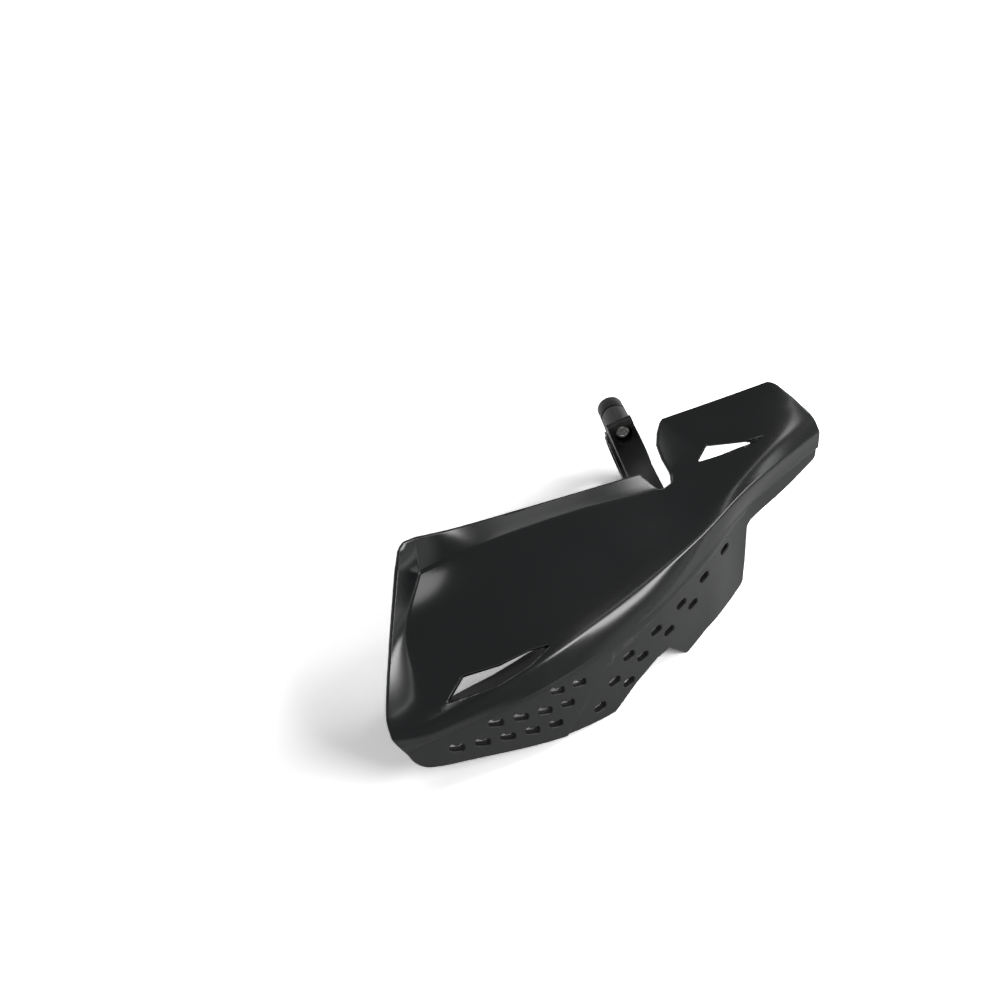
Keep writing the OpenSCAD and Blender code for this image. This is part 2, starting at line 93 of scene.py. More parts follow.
# Cuts: the lower outline and the panel line as X and Z, the others as points on the surface
OUTLINE = [[-160, 60], [-134.3, 11.2], [-115, 9.2], [-96, 7.2], [-59, 2.6], [-29, 0], [-13, 9],
           [3, 15.3], [12, 16], [25, 4], [43, 8], [68, 9], [77, 11], [79.5, 13], [82.5, 26.5],
           [85.5, 44.5], [88.5, 46.8], [110, 51.8], [137.5, 59], [170, 66], [170, 120],
           [-160, 120]]
PANEL_LINE = [[150, 66], [130, 64], [108, 60.5], [88.5, 58], [82, 54.5], [65, 51.5], [39.5, 46.7],
              [21.5, 45.5], [1, 40.3], [-17.5, 36], [-30, 31], [-39, 23], [-46.5, 16],
              [-56.5, 7], [-62, 0], [-62, -20], [150, -20]]
PLAN_R, CUT_R = 10, 2       # rounding of the outline's upper corners and of the other cuts
WIDE_END_R, NARROW_END_R = 6, 2.5
WIDE_WINDOW_R, NARROW_WINDOW_R = 0.1, 0.3
UNDER_SEAM = [[-170, 14.9]] + OUTLINE[2:]
PLAN = [[-90.3, -34.5, 82.8], [-153, -95, 30], [-150, -130, -60], [185, -150, -60],
        [185, -130, 10], [135.5, -66.3, 95.2], [72, -41, 86], [-25, -48, 82]]
PLAN_NORMAL = (-0.25, -0.6, 0.75)
NOTCH = [[38.2, -60, 83], [40.2, -66.3, 78.5], [46.1, -76, 71.1], [48.5, -77.2, 71.3],
         [54.5, -77, 72.2], [57.3, -73, 73.5], [59.3, -63, 77.9], [62.2, -56, 80.6],
         [68.2, -49.7, 82.6], [73.5, -45.7, 83.7], [76.5, -44.5, 84.5], [80.4, -20, 95],
         [34, -20, 95]]
NOTCH_NORMAL = (-0.12, -0.2, 0.97)
WIDE_WINDOW = [[-98, -96, 44], [-112.5, -100.5, 37], [-87, -109.5, 40], [-69, -111.5, 43.5],
               [-54, -110, 48.5], [-65.5, -106, 48], [-81, -102.5, 45.5]]
WIDE_NORMAL = (-0.25, -0.5, 0.83)
RAMP_FOOT = [[-112.5, -100.5, 37], [-87, -109.5, 40], [-69, -111.5, 43.5], [-54, -110, 48.5]]
RAMP_LIP = [[-108.7, -99.4, 38.6], [-97.6, -101.7, 40.9], [-86.2, -104.2, 43],
            [-74.1, -105.9, 45.6], [-66, -106.9, 47.4], [-54, -110, 48.5]]
RAMP_SLOPE = np.array([0.46, 0.58, -0.67])
NARROW_WINDOW = [[84.5, -71.5, 78], [74.6, -75.7, 75.1], [86.5, -80, 76.5], [105, -85.6, 79.4],
                 [102.5, -83.5, 79.5]]
NARROW_NORMAL = (-0.18, -0.3, 0.94)
NARROW_GROOVE = [[96.5, -80.5, 79.3], [115.5, -87.4, 80.4], [99, -85.9, 79]]

# Vents as X and Z: first one, step along a row, step to the next row, vents in each row,
# places that each row starts further along, and slope
WIDE_VENTS = ((-65, 13), (-12.5, 1.2), (8.3, 8.3), (5, 4, 2), (0, 0, 0), -12)
TAB_VENTS = ((64, 44), (-20, -4), (-11, -9.7), (5, 4, 2), (0, 1, 3), 8)
VENT_L, VENT_W, VENT_WAIST = 7.4, 3.6, 2.6
DUCT_H, DUCT_RIM, DUCT_FOOT = 3.0, 1.0, 2.2   # short duct behind each vent


def rails_at(u):
    """The eight rail points of the cross section at each u, by a cubic through every section."""
    chord = (SECTIONS[1:] - SECTIONS[:-1]) / np.diff(KNOTS)[:, None, None]
    mid = (SECTIONS[2:] - SECTIONS[:-2]) / (KNOTS[2:] - KNOTS[:-2])[:, None, None]
    leave = np.concatenate([chord[:1], mid, chord[-1:]])
    reach = leave.copy()
    for knot, first in ((1, SPLIT_RAIL), (NOTCH_KNOTS[0], FOLD_RAIL), (NOTCH_KNOTS[1], FOLD_RAIL)):
        leave[knot, first:] = chord[knot, first:]
        reach[knot, first:] = chord[knot - 1, first:]
    j = np.clip(np.searchsorted(KNOTS, u, side="right") - 1, 0, len(KNOTS) - 2)
    h = (KNOTS[j + 1] - KNOTS[j])[:, None, None]
    s = ((u - KNOTS[j])[:, None, None]) / h
    return ((2 * s ** 3 - 3 * s ** 2 + 1) * SECTIONS[j] + (s ** 3 - 2 * s ** 2 + s) * leave[j] * h
            + (3 * s ** 2 - 2 * s ** 3) * SECTIONS[j + 1] + (s ** 3 - s ** 2) * reach[j + 1] * h)


def unit(v):
    """Vectors at length 1."""
    return v / np.maximum(np.linalg.norm(v, axis=-1, keepdims=True), 1e-12)


def face_frame(p):
    """Chord lengths and slopes of the upper face's curve through rails 3 to 6."""
    q = p[:, 3:7]
    ends = np.concatenate([np.zeros((len(p), 1)),
                           np.cumsum(np.linalg.norm(np.diff(q, axis=1), axis=2), axis=1)], axis=1)
    a, b, c = (ends[:, k, None] for k in (1, 2, 3))
    slopes = np.stack([(q[:, 1] - q[:, 0]) / a, (q[:, 2] - q[:, 0]) / b,
                       (q[:, 3] - q[:, 1]) / (c - a), (q[:, 3] - q[:, 2]) / (c - b)], axis=1)
    return q, ends, slopes


def face_at(p, t):
    """A point of the upper face's curve, at share t of its length."""
    q, ends, slopes = face_frame(p)
    d = t * ends[:, 3]
    j = (d >= ends[:, 1]).astype(int) + (d >= ends[:, 2])
    n = np.arange(len(p))
    h = (ends[n, j + 1] - ends[n, j])[:, None]
    s = (d - ends[n, j])[:, None] / h
    return ((2 * s ** 3 - 3 * s ** 2 + 1) * q[n, j] + (s ** 3 - 2 * s ** 2 + s) * slopes[n, j] * h
            + (3 * s ** 2 - 2 * s ** 3) * q[n, j + 1] + (s ** 3 - s ** 2) * slopes[n, j + 1] * h)


def cove_at(p, s):
    """A point of the cove, a smooth bend from rail 1 through rail 2 to rail 3."""
    s = s[:, None]
    turn = 2 * p[:, 2] - (p[:, 1] + p[:, 3]) / 2
    return (1 - s) ** 2 * p[:, 1] + 2 * s * (1 - s) * turn + s ** 2 * p[:, 3]


def arc(a, corner, b, s):
    """A point of the bend from a to b that rounds a corner."""
    s = s[:, None]
    return (1 - s) ** 2 * a + 2 * s * (1 - s) * corner + s ** 2 * b


# Along a cross section the place w runs over seven parts, one from each whole number
PANEL, SEAM, COVE, CREST, FACE, FOLD, FLANGE = range(7)


def section_at(p, w, radii):
    """A point at place w of each cross section p, with the seam, crest and fold rounded."""
    seam, crest, fold = radii
    part = np.minimum(w.astype(int), FLANGE)
    s = w - part
    cove_l = np.linalg.norm(p[:, 3] - p[:, 1], axis=1)
    face_l = face_frame(p)[1][:, 3]
    one = np.ones(len(p))
    seam_a = p[:, 1] + seam * unit(p[:, 0] - p[:, 1])
    cove_s, cove_e = seam / cove_l, 1 - crest / cove_l
    face_s, face_e = crest / face_l, 1 - fold / face_l
    fold_b = p[:, 6] + fold * unit(p[:, 7] - p[:, 6])
    out = np.empty((len(p), 3))
    makers = {
        PANEL: lambda k: p[k, 0] + (seam_a[k] - p[k, 0]) * s[k, None],
        SEAM: lambda k: arc(seam_a[k], p[k, 1], cove_at(p[k], cove_s[k]), s[k]),
        COVE: lambda k: cove_at(p[k], cove_s[k] + (cove_e - cove_s)[k] * s[k]),
        CREST: lambda k: arc(cove_at(p[k], cove_e[k]), p[k, 3], face_at(p[k], face_s[k]), s[k]),
        FACE: lambda k: face_at(p[k], face_s[k] + (face_e - face_s)[k] * s[k]),
        FOLD: lambda k: arc(face_at(p[k], face_e[k]), p[k, 6], fold_b[k], s[k]),
        FLANGE: lambda k: fold_b[k] + (p[k, 7] - fold_b[k]) * s[k, None]}
    for number, maker in makers.items():
        k = np.flatnonzero(part == number)
        if len(k):
            out[k] = maker(k)
    return out


def inner_rails(u, p):
    """The rails of the inner side, a wall's thickness under the outer ones."""
    step = 1e-4
    low, high = np.maximum(u - step, 0), np.minimum(u + step, 1)
    along = rails_at(high) - rails_at(low)
    slopes = face_frame(p)[2]
    turn = 2 * p[:, 2] - (p[:, 1] + p[:, 3]) / 2
    before = [p[:, 1] - p[:, 0], p[:, 1] - p[:, 0], p[:, 3] - p[:, 1], p[:, 3] - turn,
              slopes[:, 1], slopes[:, 2], slopes[:, 3], p[:, 7] - p[:, 6]]
    after = [p[:, 1] - p[:, 0], turn - p[:, 1], p[:, 3] - p[:, 1], slopes[:, 0],
             slopes[:, 1], slopes[:, 2], p[:, 7] - p[:, 6], p[:, 7] - p[:, 6]]
    inner = p.copy()
    for r in range(8):
        a = unit(np.cross(along[:, r], before[r]))
        b = unit(np.cross(along[:, r], after[r]))
        inner[:, r] -= WALL * (a + b) / (1 + np.sum(a * b, axis=1, keepdims=True))
    return inner


def skins(uw):
    """Outer and inner point, in mm in the guard's own frame, for each place (u, w)."""
    p = rails_at(uw[:, 0])
    outer = section_at(p, uw[:, 1], OUTER_R)
    inner = section_at(inner_rails(uw[:, 0], p), uw[:, 1], INNER_R)
    return outer, inner


def polygon_distance(points, polygon, r=0.0):
    """Distance to a polygon, negative inside, its convex corners rounded to radius r."""
    poly = np.asarray(polygon, float)
    if np.sum(poly[:, 0] * np.roll(poly[:, 1], -1) - poly[:, 1] * np.roll(poly[:, 0], -1)) < 0:
        poly = poly[::-1]
    if r:
        edge = unit(np.roll(poly, -1, axis=0) - poly)
        normal = np.stack([edge[:, 1], -edge[:, 0]], axis=1)
        last = np.roll(normal, 1, axis=0)
        poly = poly - r * (normal + last) / (1 + np.sum(normal * last, axis=1, keepdims=True))
    best = np.full(len(points), np.inf)
    inside = np.zeros(len(points), bool)
    for a, b in zip(poly, np.roll(poly, -1, axis=0)):
        best = np.minimum(best, segment_distance(points, a, b))
        crosses = (a[1] > points[:, 1]) != (b[1] > points[:, 1])
        rise = b[1] - a[1] if b[1] != a[1] else 1e-12
        inside ^= crosses & (points[:, 0] < (b[0] - a[0]) * (points[:, 1] - a[1]) / rise + a[0])
    return np.where(inside, -best, best) - r


def segment_distance(points, a, b):
    """Distance to the straight line from a to b."""
    ab = b - a
    t = np.clip(((points - a) @ ab) / max(ab @ ab, 1e-12), 0, 1)
    return np.linalg.norm(points - a - t[:, None] * ab, axis=1)


def path_distance(points, path):
    """Distance to the nearest stretch of an open path."""
    path = np.asarray(path, float)
    return np.min([segment_distance(points, a, b) for a, b in zip(path[:-1], path[1:])], axis=0)


def seen_along(points, normal):
    """Points as flat coordinates, seen along a normal."""
    z = unit(np.array(normal, float))
    x = unit(np.cross([0, 1, 0], z))
    return np.asarray(points, float) @ np.stack([x, np.cross(z, x)], axis=1)


def vent_distance(xz, zone, waist):
    """Distance to the nearest vent of a zone, negative inside it."""
    best = np.full(len(xz), np.inf)
    turn = math.radians(zone[5])
    half = VENT_L / 2 - VENT_W / 2
    for row, count in enumerate(zone[3]):
        for i in range(count):
            at = (np.array(zone[0]) + (i + zone[4][row]) * np.array(zone[1])
                  + row * np.array(zone[2]))
            d = xz - at
            x = d[:, 0] * math.cos(turn) + d[:, 1] * math.sin(turn)
            y = -d[:, 0] * math.sin(turn) + d[:, 1] * math.cos(turn)
            body = np.hypot(np.maximum(np.abs(x) - half, 0), y) - VENT_W / 2
            if waist < VENT_W:
                bite = VENT_W * 1.5 - waist - np.hypot(x, y - VENT_W)
                body = np.maximum(body, bite)
            best = np.minimum(best, body)
    return best


def round_corner(a, b, r):
    """Distance to the nearer of two edges, with their corner rounded to radius r."""
    return np.where((a < r) & (b < r), r - np.hypot(r - a, r - b), np.minimum(a, b))


def edge_field(uw, outer):
    """Distance in mm from a point of the skin to the nearest cut edge, negative past it."""
    xz = outer[:, [0, 2]]
    ends = []
    for column, value in ((0, 0.0), (0, 1.0), (1, 0.0), (1, 7.0)):
        at_end = uw.copy()
        at_end[:, column] = value
        ends.append(np.linalg.norm(outer - skins(at_end)[0], axis=1))
    plan = polygon_distance(seen_along(outer, PLAN_NORMAL), seen_along(PLAN, PLAN_NORMAL), PLAN_R)
    notch = polygon_distance(seen_along(outer, NOTCH_NORMAL), seen_along(NOTCH, NOTCH_NORMAL), CUT_R)
    hole = RAMP_LIP + [WIDE_WINDOW[5], WIDE_WINDOW[6], WIDE_WINDOW[0]]
    wide = polygon_distance(seen_along(outer, WIDE_NORMAL), seen_along(hole, WIDE_NORMAL),
                            WIDE_WINDOW_R)
    narrow = polygon_distance(seen_along(outer, NARROW_NORMAL),
                              seen_along(NARROW_WINDOW, NARROW_NORMAL), NARROW_WINDOW_R)
    low = -polygon_distance(xz, OUTLINE, CUT_R)
    bottom = -polygon_distance(xz, UNDER_SEAM, CUT_R)
    return np.minimum.reduce(ends[2:] + [
        low, round_corner(ends[0], bottom, WIDE_END_R), round_corner(ends[1], bottom, NARROW_END_R),
        -plan, notch, wide, narrow, vent_field(outer)])


def vent_field(outer):
    """Distance to the nearest vent of both zones."""
    xz = outer[:, [0, 2]]
    return np.minimum(vent_distance(xz, WIDE_VENTS, VENT_WAIST), vent_distance(xz, TAB_VENTS, VENT_W))


def panel_field(outer):
    """Distance to the lowered part of the panel, negative inside it."""
    return polygon_distance(outer[:, [0, 2]], PANEL_LINE, 1)


def ramp_field(outer):
    """Distance to the wide window with the ramp under it, negative inside."""
    return polygon_distance(seen_along(outer, WIDE_NORMAL), seen_along(WIDE_WINDOW, WIDE_NORMAL), 0.5)


def groove_field(outer):
    """Distance to the groove beside the narrow window, negative inside it."""
    return polygon_distance(seen_along(outer, NARROW_NORMAL),
                            seen_along(NARROW_GROOVE, NARROW_NORMAL), 0.5)


def divide(uw, tris, choose):
    """Adds a point on each edge that choose picks, at the share of the edge that it gives."""
    edges = np.sort(np.concatenate([tris[:, [0, 1]], tris[:, [1, 2]], tris[:, [2, 0]]]), axis=1)
    edges, which = np.unique(edges, axis=0, return_inverse=True)
    which = which.reshape(3, -1).T
    picked, share = choose(edges)
    fresh = np.full(len(edges), -1)
    fresh[picked] = len(uw) + np.arange(picked.sum())
    a, b = uw[edges[picked, 0]], uw[edges[picked, 1]]
    uw = np.concatenate([uw, a + (b - a) * share[picked, None]])
    m = fresh[which]
    count = (m >= 0).sum(axis=1)
    new = [tris[count == 0], np.stack([m[count == 3, 0], m[count == 3, 1], m[count == 3, 2]], 1)]
    for turn in range(3):
        t, n = np.roll(tris, -turn, axis=1), np.roll(m, -turn, axis=1)
        one = (count == 1) & (n[:, 0] >= 0)
        new += [np.stack([t[one, 0], n[one, 0], t[one, 2]], 1),
                np.stack([n[one, 0], t[one, 1], t[one, 2]], 1)]
        two = (count == 2) & (n[:, 0] >= 0) & (n[:, 1] >= 0)
        new += [np.stack([n[two, 0], t[two, 1], n[two, 1]], 1),
                np.stack([t[two, 0], n[two, 0], n[two, 1]], 1),
                np.stack([t[two, 0], n[two, 1], t[two, 2]], 1)]
        three = count == 3
        new.append(np.stack([t[three, 0], n[three, 0], n[three, 2]], 1))
    return uw, np.concatenate(new)


def split_at(uw, tris, field, levels):
    """Cuts the skin's triangles along the lines where a field has these levels."""
    for level in levels:
        value = field(uw) - level
        value[np.abs(value) < 0.02] = 0.0

        def crossing(edges):
            a, b = value[edges[:, 0]], value[edges[:, 1]]
            picked = a * b < 0
            return picked, np.where(picked, a / np.where(picked, a - b, 1), 0.5)

        uw, tris = divide(uw, tris, crossing)
    return uw, tris


# Steps between one cross section and the next, and along each part of a cross section
SECTION_STEPS = (14, 26, 24, 22, 22, 20, 20)
PART_STEPS = {PANEL: 4, SEAM: 3, COVE: 8, CREST: 6, FACE: 18, FOLD: 6, FLANGE: 3}
FINEST, COARSENING = 1.4, 1.9   # longest edge at a cut in mm, and how it grows away from the cut
ROUNDS = 4


def skin_grid():
    """Places (u, w) over the whole skin, close together where it bends."""
    stations = [0.0]
    for knot, count in enumerate(SECTION_STEPS):
        stations += list(np.linspace(KNOTS[knot], KNOTS[knot + 1], count + 1)[1:])
    stations = np.array(stations)
    rows = [0.0]
    for part, count in PART_STEPS.items():
        rows += list(np.linspace(part, part + 1, count + 1)[1:])
    rows = np.array(rows)
    uw = np.stack(np.meshgrid(stations, rows, indexing="ij"), axis=2).reshape(-1, 2)
    n = len(rows)
    corner = (np.arange(len(stations) - 1)[:, None] * n + np.arange(n - 1)).ravel()
    return uw, np.concatenate([np.stack([corner, corner + n, corner + n + 1], 1),
                               np.stack([corner, corner + n + 1, corner + 1], 1)])


def shield_skin():
    """The skin's places, its triangles, and each place's distance to the nearest cut edge."""
    uw, tris = skin_grid()
    for _ in range(ROUNDS):
        outer = skins(uw)[0]
        near = np.minimum.reduce([np.abs(edge_field(uw, outer)), np.abs(panel_field(outer)) * 1.5,
                                  np.abs(ramp_field(outer)), np.abs(groove_field(outer))])

        def long(edges):
            length = np.linalg.norm(outer[edges[:, 0]] - outer[edges[:, 1]], axis=1)
            close = np.minimum(near[edges[:, 0]], near[edges[:, 1]])
            return length > np.maximum(FINEST, COARSENING * close), np.full(len(edges), 0.5)

        uw, tris = divide(uw, tris, long)
    uw, tris = split_at(uw, tris, lambda q: edge_field(q, skins(q)[0]),
                        (0.0, 0.13 * EDGE_R, 0.5 * EDGE_R, EDGE_R))
    uw, tris = split_at(uw, tris, lambda q: panel_field(skins(q)[0]),
                        (-PANEL_BLEND, -0.34 * PANEL_BLEND, 0.34 * PANEL_BLEND, PANEL_BLEND))
    uw, tris = split_at(uw, tris, lambda q: ramp_field(skins(q)[0]), (-RAMP_BLEND, 0.0))
    uw, tris = split_at(uw, tris, lambda q: groove_field(skins(q)[0]), (-GROOVE_BLEND, -0.4, 0.0))
    uw, tris = split_at(uw, tris, lambda q: vent_field(skins(q)[0]), (DUCT_RIM, DUCT_FOOT))
    value = edge_field(uw, skins(uw)[0])
    tris = tris[value[tris].min(axis=1) > -0.03]
    used, back = np.unique(tris, return_inverse=True)
    return uw[used], back.reshape(-1, 3), np.maximum(value[used], 0)


def smooth_step(t):
    """0 to 1 with a level start and end."""
    t = np.clip(t, 0, 1)
    return t * t * (3 - 2 * t)


def row_turn():
    """The turn from the guard's frame to the row's."""
    ax, ay = (math.radians(a) for a in LAY_DEG)
    return Matrix.Rotation(ay, 3, "Y") @ Matrix.Rotation(ax, 3, "X")


def to_row(points):
    """Points of the guard's own frame, in mm, as metres in the row's frame."""
    return (np.asarray(points, float) - BAR_AT) @ np.array(row_turn()).T * MM


def mesh_object(name, points, faces, smooth=True):
    """An object at the origin, with its mesh from points in metres and faces."""
    mesh = bpy.data.meshes.new(name)
    mesh.from_pydata(np.asarray(points).tolist(), [], np.asarray(faces).tolist())
    mesh.polygons.foreach_set("use_smooth", [smooth] * len(mesh.polygons))
    mesh.update()
    obj = bpy.data.objects.new(name, mesh)
    scene.collection.objects.link(obj)
    return obj


uw, tris, rim = shield_skin()
outer, inner = skins(uw)
thickness = np.linalg.norm(inner - outer, axis=1)
rounding = np.clip(EDGE_R - rim, 0, EDGE_R)
rounded = EDGE_R - np.sqrt(np.maximum(EDGE_R ** 2 - rounding ** 2, 0))
under, above = uw[:, 1] < CREST, uw[:, 1] > CREST
sunk = PANEL_STEP * smooth_step(PANEL_BLEND - panel_field(outer)) * under
sunk = np.maximum(sunk, GROOVE_DEPTH * smooth_step(-groove_field(outer) / GROOVE_BLEND) * above)
foot = path_distance(seen_along(outer, WIDE_NORMAL), seen_along(RAMP_FOOT, WIDE_NORMAL))
lip = path_distance(seen_along(outer, WIDE_NORMAL), seen_along(RAMP_LIP, WIDE_NORMAL))
down = (RAMP_DEPTH * foot / np.maximum(foot + lip, 1e-6)
        * np.clip(-ramp_field(outer) / RAMP_BLEND, 0, 1) * above)
across = (inner - outer) / thickness[:, None]
top = outer + across * (sunk + rounded)[:, None] + down[:, None] * RAMP_SLOPE
duct = DUCT_H * smooth_step((DUCT_FOOT - vent_field(outer)) / (DUCT_FOOT - DUCT_RIM)) * under
low = inner + across * (duct - rounded)[:, None] + down[:, None] * RAMP_SLOPE

# The outer and the inner skin, joined by walls along every cut edge
count = len(uw)
edges = np.concatenate([tris[:, [0, 1]], tris[:, [1, 2]], tris[:, [2, 0]]])
key = edges[:, 0] * count + edges[:, 1]
border = edges[~np.isin(key, edges[:, 1] * count + edges[:, 0])]
walls = np.concatenate([np.stack([border[:, 1], border[:, 0], border[:, 0] + count], 1),
                        np.stack([border[:, 1], border[:, 0] + count, border[:, 1] + count], 1)])
points = to_row(np.concatenate([top, low]))
points[:, 2] = np.maximum(points[:, 2], cad_box[0][2])   # nothing goes below the solids' lowest point
shell = mesh_object("shield_shell", points, np.concatenate([tris, tris[:, ::-1] + count, walls]))


def srgb(code):
    """A hex colour as linear light."""
    parts = [int(code[i:i + 2], 16) / 255 for i in (0, 2, 4)]
    return [c / 12.92 if c <= 0.04045 else ((c + 0.055) / 1.055) ** 2.4 for c in parts] + [1.0]


def add_node(tree, kind, links=(), settings=(), values=()):
    """Adds a node with its settings, socket values and incoming links."""
    node = tree.nodes.new(kind)
    for key, value in dict(settings).items():
        setattr(node, key, value)
    for key, value in dict(values).items():
        node.inputs[key].default_value = value
    for key, source in dict(links).items():
        tree.links.new(source, node.inputs[key])
    return node


FLOW_MM = 35   # size of the flow marks


def plastic(name, colour, roughness, grain_mm, depth, ior=1.5):
    """A moulded plastic: its colour, a fine even grain and slight flow marks in its gloss.

    The grain is drawn coarser than a mould's real one, which is too fine to show.
    """
    mat = bpy.data.materials.new(name)
    mat.use_nodes = True
    tree = mat.node_tree
    shader = tree.nodes["Principled BSDF"]
    shader.inputs["Base Color"].default_value = srgb(colour)
    shader.inputs["IOR"].default_value = ior
    place = add_node(tree, "ShaderNodeTexCoord").outputs["Object"]
    grain = add_node(tree, "ShaderNodeTexNoise", {"Vector": place},
                     values={"Scale": 1 / (grain_mm * MM), "Detail": 3, "Roughness": 0.6})
    flow = add_node(tree, "ShaderNodeTexNoise", {"Vector": place},
                    values={"Scale": 1 / (FLOW_MM * MM), "Detail": 2})
    gloss = add_node(tree, "ShaderNodeMapRange", {"Value": flow.outputs["Fac"]},
                     values={"From Min": 0.0, "From Max": 1.0, "To Min": roughness * 0.75,
                             "To Max": roughness * 1.25})
    tree.links.new(gloss.outputs["Result"], shader.inputs["Roughness"])
    bump = add_node(tree, "ShaderNodeBump", {"Height": grain.outputs["Fac"]},
                    values={"Strength": 0.35, "Distance": depth * MM})
    tree.links.new(bump.outputs["Normal"], shader.inputs["Normal"])
    return mat


# Black moulded plastic, whose kind the photo doesn't tell, in three finishes. The polished part
# shows a lamp as a clear light, the satin part spreads it to an even grey, and the back stays dull.
GLOSS, SATIN, RAW = range(3)
for mat in (plastic("polished_black_plastic", "0f1112", 0.18, 0.7, 0.0015),
            plastic("satin_black_plastic", "111313", 0.38, 0.5, 0.015, 1.44),
            plastic("as_moulded_black_plastic", "0c0d0d", 0.7, 0.5, 0.03, 1.44)):
    shell.data.materials.append(mat)
on_panel = uw[:, 1][tris].mean(axis=1) < COVE + 0.12
# The ramp under the wide window and the vents' walls also take the dull finish. It is partly a real
# as-moulded surface and partly painted shade: its darker colour darkens these recesses.
ramp_painted_shade = (ramp_field(outer)[tris].mean(axis=1) < -RAMP_BLEND / 2) & ~on_panel
vent_wall_painted_shade = vent_field(outer)[border].max(axis=1) < 0.3
upper = np.where(ramp_painted_shade, RAW, np.where(on_panel, SATIN, GLOSS))
wall = np.where(vent_wall_painted_shade, RAW, GLOSS)
finish = np.concatenate([upper, np.full(len(tris), RAW), wall, wall])
shell.data.polygons.foreach_set("material_index", finish.astype(np.int32))

# The two bosses behind the upper face, each a turned tube with a rounded rim
CLAMP_TURN_DEG = (-6.7, -19.1, -23.25)
FOOT_ALONG, FOOT_ACROSS = 0.645, 0.34
BOSS_H, BOSS_WALL, SCREW_PITCH = 8.0, 2.6, 22.0
INSERT_D = 6.8
SEGMENTS = 48


def turned(rows, segments=SEGMENTS):
    """A body turned about Z from rows of (radius, z). A radius may depend on the angle."""
    angle = np.arange(segments) * 2 * math.pi / segments
    rings = []
    for radius, z in rows:
        r = radius(angle) if callable(radius) else np.full(segments, float(radius))
        rings.append(np.stack([r * np.cos(angle), r * np.sin(angle), np.full(segments, z)], 1))
    points = np.concatenate(rings)
    k = np.arange(segments)
    nxt = (k + 1) % segments
    faces = []
    for i in range(len(rows)):
        a, b = i * segments, ((i + 1) % len(rows)) * segments
        faces.append(np.stack([a + k, a + nxt, b + nxt, b + k], 1))
    return points, np.concatenate(faces)


def placed(points, origin, axes):
    """Points of a local frame, given by its origin and its X, Y and Z axes, in the guard's frame."""
    return np.asarray(origin) + np.asarray(points, float) @ np.asarray(axes)


def rotation(degrees):
    """A turn about X, then Y, then Z."""
    x, y, z = (math.radians(a) for a in degrees)
    return np.array(Matrix.Rotation(z, 3, "Z") @ Matrix.Rotation(y, 3, "Y")
                    @ Matrix.Rotation(x, 3, "X"))


# The foot stands square to the face at one place, found from four places close to it
CLAMP = rotation(CLAMP_TURN_DEG)
near_foot = [(FOOT_ALONG, FOOT_ACROSS), (FOOT_ALONG + 0.02, FOOT_ACROSS),
             (FOOT_ALONG - 0.02, FOOT_ACROSS), (FOOT_ALONG, FOOT_ACROSS + 0.1),
             (FOOT_ALONG, FOOT_ACROSS - 0.1)]
foot_points = np.array([face_at(rails_at(np.array([u])), np.array([t]))[0] for u, t in near_foot])
foot_z = unit(np.cross(foot_points[1] - foot_points[2], foot_points[3] - foot_points[4]))
foot_x = unit(CLAMP[:, 0] - (CLAMP[:, 0] @ foot_z) * foot_z)
FOOT_AXES = np.array([foot_x, np.cross(foot_z, foot_x), foot_z])
boss_r = INSERT_D / 2 + BOSS_WALL
boss_rows = [(boss_r + 1.4, -WALL * 0.6), (boss_r + 1.2, -WALL - 0.15), (boss_r + 0.35, -WALL - 0.6),
             (boss_r, -WALL - 1.4), (boss_r - 0.15, -WALL - BOSS_H + 0.5),
             (boss_r - 0.3, -WALL - BOSS_H + 0.12), (boss_r - 0.6, -WALL - BOSS_H),
             (INSERT_D / 2 + 0.3, -WALL - BOSS_H), (INSERT_D / 2, -WALL - BOSS_H + 0.3),
             (INSERT_D / 2, -WALL * 0.9)]
boss_points, boss_faces = turned(boss_rows)
parts = bmesh.new()
parts.from_mesh(shell.data)
for side in (-1, 1):
    where = placed(boss_points + [side * SCREW_PITCH / 2, 0, 0], foot_points[0], FOOT_AXES)
    verts = [parts.verts.new(v) for v in to_row(where)]
    for face in boss_faces[:, ::-1]:
        made = parts.faces.new([verts[i] for i in face])
        made.smooth = True
        made.material_index = RAW
parts.to_mesh(shell.data)
parts.free()
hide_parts("shield")
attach(shell, "root")

# Arm and sleeve: the arm is one moulding of glass-filled nylon with a split collar round the
# bar, two knuckles for the pinch bolt and a foot for two screws. The sleeve is a softer
# moulding between the collar and the bar. Both keep the CAD's shape, with their edges eased.
# The nylon's glass fibres dull its skin, and the sleeve's soft plastic is smoother and greyer.
NYLON = plastic("glass_filled_nylon", "0e0f0f", 0.45, 0.6, 0.02, 1.45)
SLEEVE = plastic("moulded_sleeve_plastic", "1a1b1b", 0.3, 0.6, 0.01)
MERGE_MM, FLAT_DEG, EASE_DEG = 0.002, 0.6, 32   # doubles, faces that are one, edges to round


def eased(node, name, width_mm, mat):
    """A copy of a CAD node, merged, with its edges rounded, that stands for the node."""
    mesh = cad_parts[node].data.copy()
    mesh.name = name
    work = bmesh.new()
    work.from_mesh(mesh)
    bmesh.ops.remove_doubles(work, verts=work.verts, dist=MERGE_MM * MM)
    bmesh.ops.dissolve_limit(work, angle_limit=math.radians(FLAT_DEG), verts=work.verts,
                             edges=work.edges)
    for face in work.faces:
        face.smooth = True
        face.material_index = 0
    work.to_mesh(mesh)
    work.free()
    mesh.materials.clear()
    mesh.materials.append(mat)
    obj = bpy.data.objects.new(name, mesh)
    scene.collection.objects.link(obj)
    bevel = obj.modifiers.new("eased", "BEVEL")
    bevel.width = width_mm * MM
    bevel.segments = 3
    bevel.limit_method = "ANGLE"
    bevel.angle_limit = math.radians(EASE_DEG)
    bevel.harden_normals = True
    plain = bpy.data.meshes.new_from_object(obj.evaluated_get(bpy.context.evaluated_depsgraph_get()))
    obj.modifiers.clear()
    obj.data = plain
    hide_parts(node)
    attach(obj, "root")


